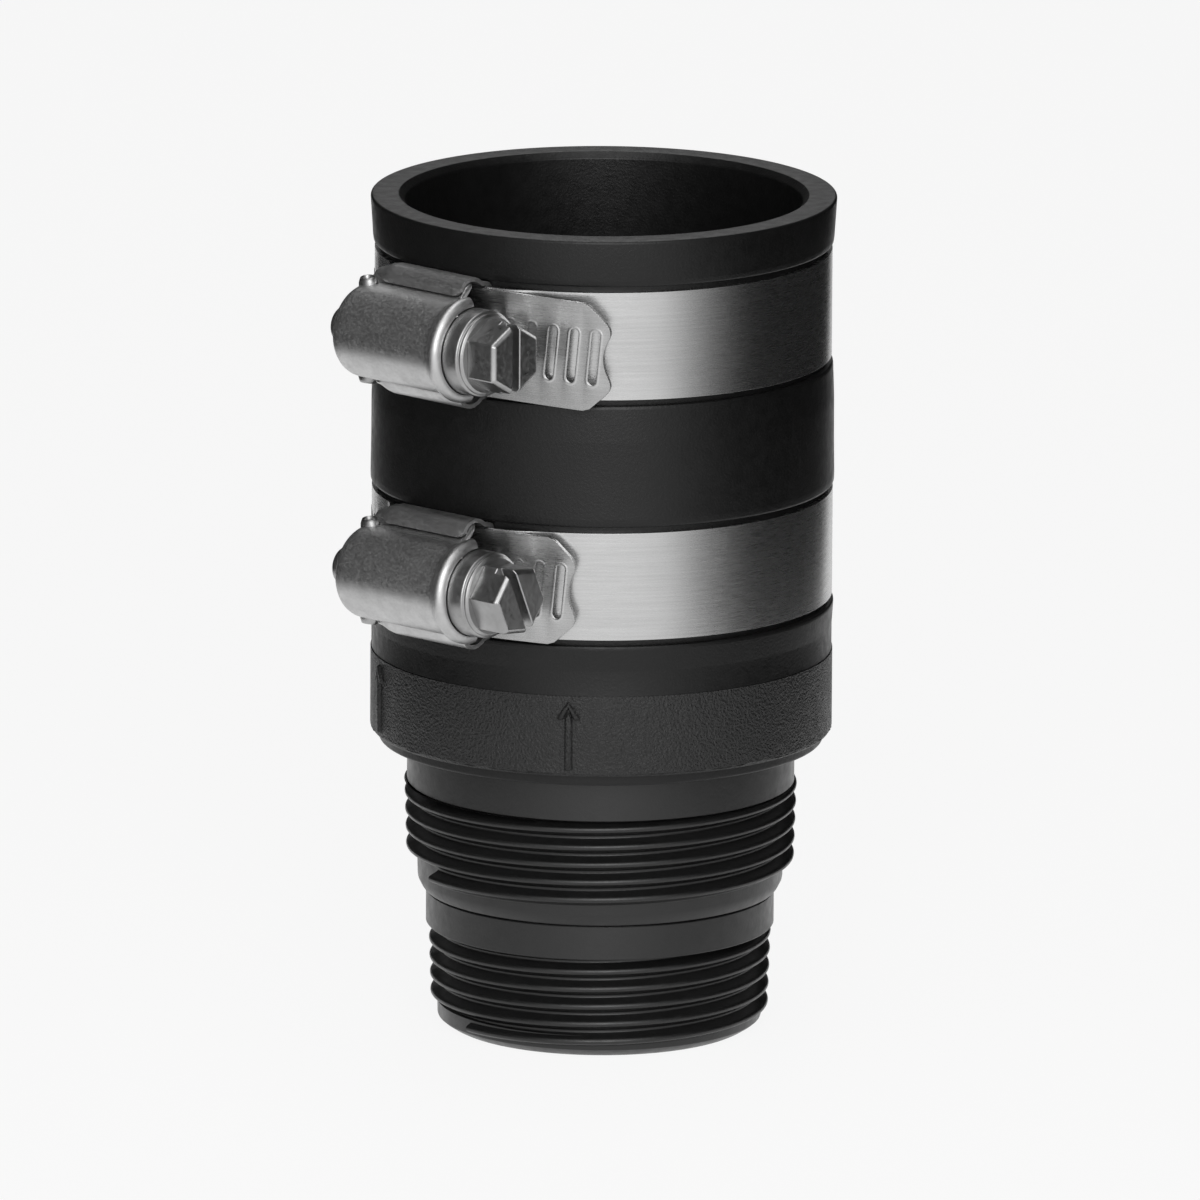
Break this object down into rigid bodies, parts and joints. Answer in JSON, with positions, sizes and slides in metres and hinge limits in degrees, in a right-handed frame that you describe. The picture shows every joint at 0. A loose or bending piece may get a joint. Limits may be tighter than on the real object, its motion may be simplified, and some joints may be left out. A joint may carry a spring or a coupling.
{
  "type": "threaded non-return valve",
  "caption": "Swing check valve for a sump discharge pipe: plastic body with two stepped male pipe threads, rubber sleeve socket held by two worm-drive band clamps, flapper opening upwards",
  "frame": {"origin": "on the valve's axis, in the plane of the inlet end face at the bottom of the small thread", "axes": "+Z runs along the axis the way the water flows, from the threaded inlet up to the rubber socket; the picture looks along +Y with +X to its right, and the clamp housings sit at front left"},
  "size_m": [0.062, 0.068, 0.104],
  "materials": {
    "black_plastic": "moulded black plastic with a dull sheen",
    "black_rubber": "moulded black rubber, slightly shiny",
    "stainless_steel": "rolled stainless steel strip, brushed along its length",
    "zinc_steel": "plated steel, dull"
  },
  "bodies": {
    "valve": {"threaded_body": "black_plastic", "rubber_sleeve": "black_rubber", "seat_ring": "black_plastic", "seat_o_ring": "black_rubber", "snap_ring": "stainless_steel", "hinge_pin": "stainless_steel", "lower_clamp_band": "stainless_steel", "lower_clamp_saddle": "stainless_steel", "lower_clamp_housing": "stainless_steel", "upper_clamp_band": "stainless_steel", "upper_clamp_saddle": "stainless_steel", "upper_clamp_housing": "stainless_steel"},
    "flapper": {"flapper_disc": "black_rubber", "flapper_plate": "stainless_steel", "flapper_weight": "zinc_steel", "flapper_screw": "stainless_steel", "flapper_washer": "stainless_steel", "flapper_nut": "stainless_steel"},
    "lower_screw": {"lower_clamp_screw": "zinc_steel"},
    "upper_screw": {"upper_clamp_screw": "zinc_steel"}
  },
  "joints": [
    {"name": "flapper_hinge", "type": "hinge", "parent": "valve", "child": "flapper", "pos_m": [-0.0186, 0, 0.04575], "axis": [0, -1, 0], "range_deg": [0, 70]},
    {"name": "lower_screw_turn", "type": "hinge", "parent": "valve", "child": "lower_screw", "pos_m": [-0.02245, -0.02493, 0.06105], "axis": [0.7431, -0.6691, 0], "continuous": true},
    {"name": "upper_screw_turn", "type": "hinge", "parent": "valve", "child": "upper_screw", "pos_m": [-0.02292, -0.02415, 0.0909], "axis": [0.7254, -0.6884, 0], "continuous": true}
  ]
}
